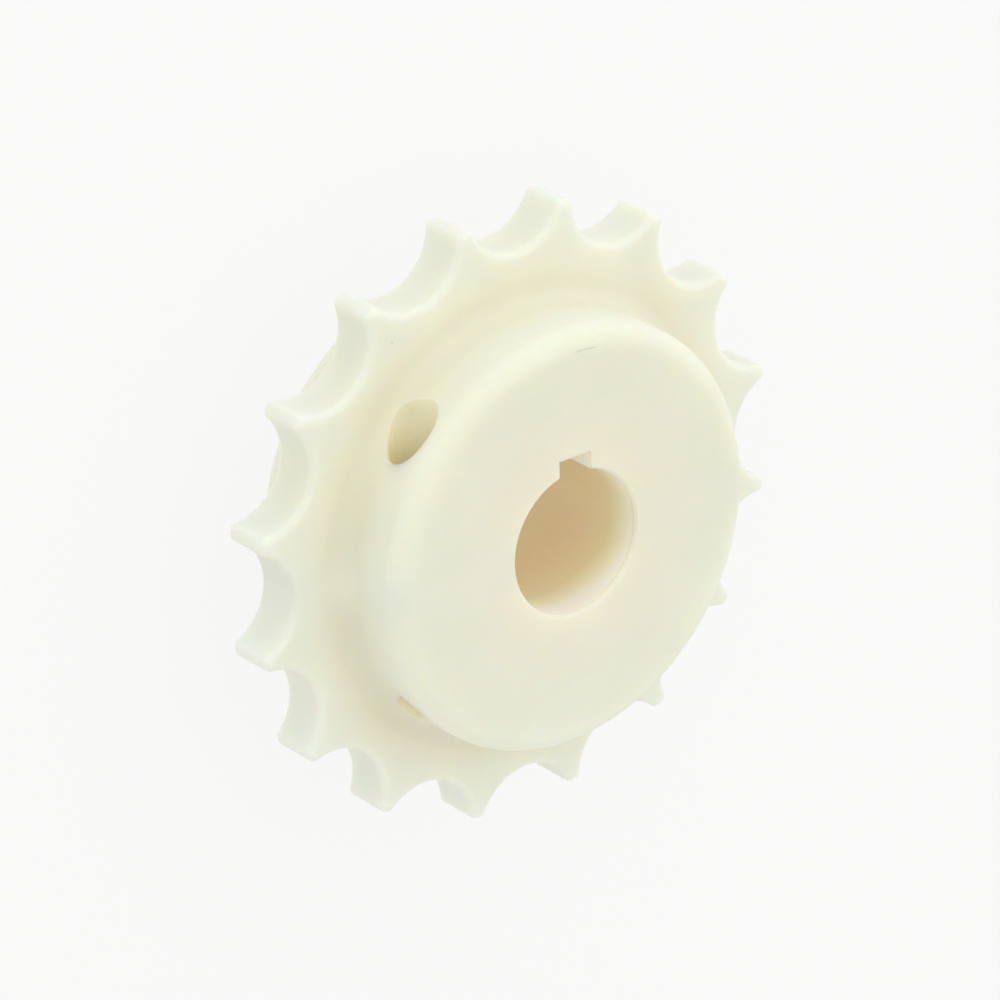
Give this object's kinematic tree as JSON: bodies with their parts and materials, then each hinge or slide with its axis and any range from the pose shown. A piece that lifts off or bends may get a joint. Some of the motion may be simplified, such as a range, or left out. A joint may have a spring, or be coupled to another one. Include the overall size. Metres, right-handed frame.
{
  "type": "split sprocket",
  "caption": "Split sprocket: a toothed rim with wide round gaps and a hub on each side, in halves screwed together round a keyed bore.",
  "frame": {"origin": "on the shaft axis, at the back hub face that it rests on", "axes": "+Z along the shaft axis towards the front hub face, +Y towards the keyway, the halves meet on the XZ plane"},
  "size_m": [0.1258, 0.1258, 0.044],
  "materials": {
    "polyamide": "machined satin",
    "stainless_steel": "satin"
  },
  "bodies": {
    "root": {"keyed_half": "polyamide", "plain_half": "polyamide", "front_left_screw": "stainless_steel", "front_left_washer": "stainless_steel", "front_left_nut": "stainless_steel", "front_right_screw": "stainless_steel", "front_right_washer": "stainless_steel", "front_right_nut": "stainless_steel", "back_left_screw": "stainless_steel", "back_left_washer": "stainless_steel", "back_left_nut": "stainless_steel", "back_right_screw": "stainless_steel", "back_right_washer": "stainless_steel", "back_right_nut": "stainless_steel"}
  },
  "joints": []
}
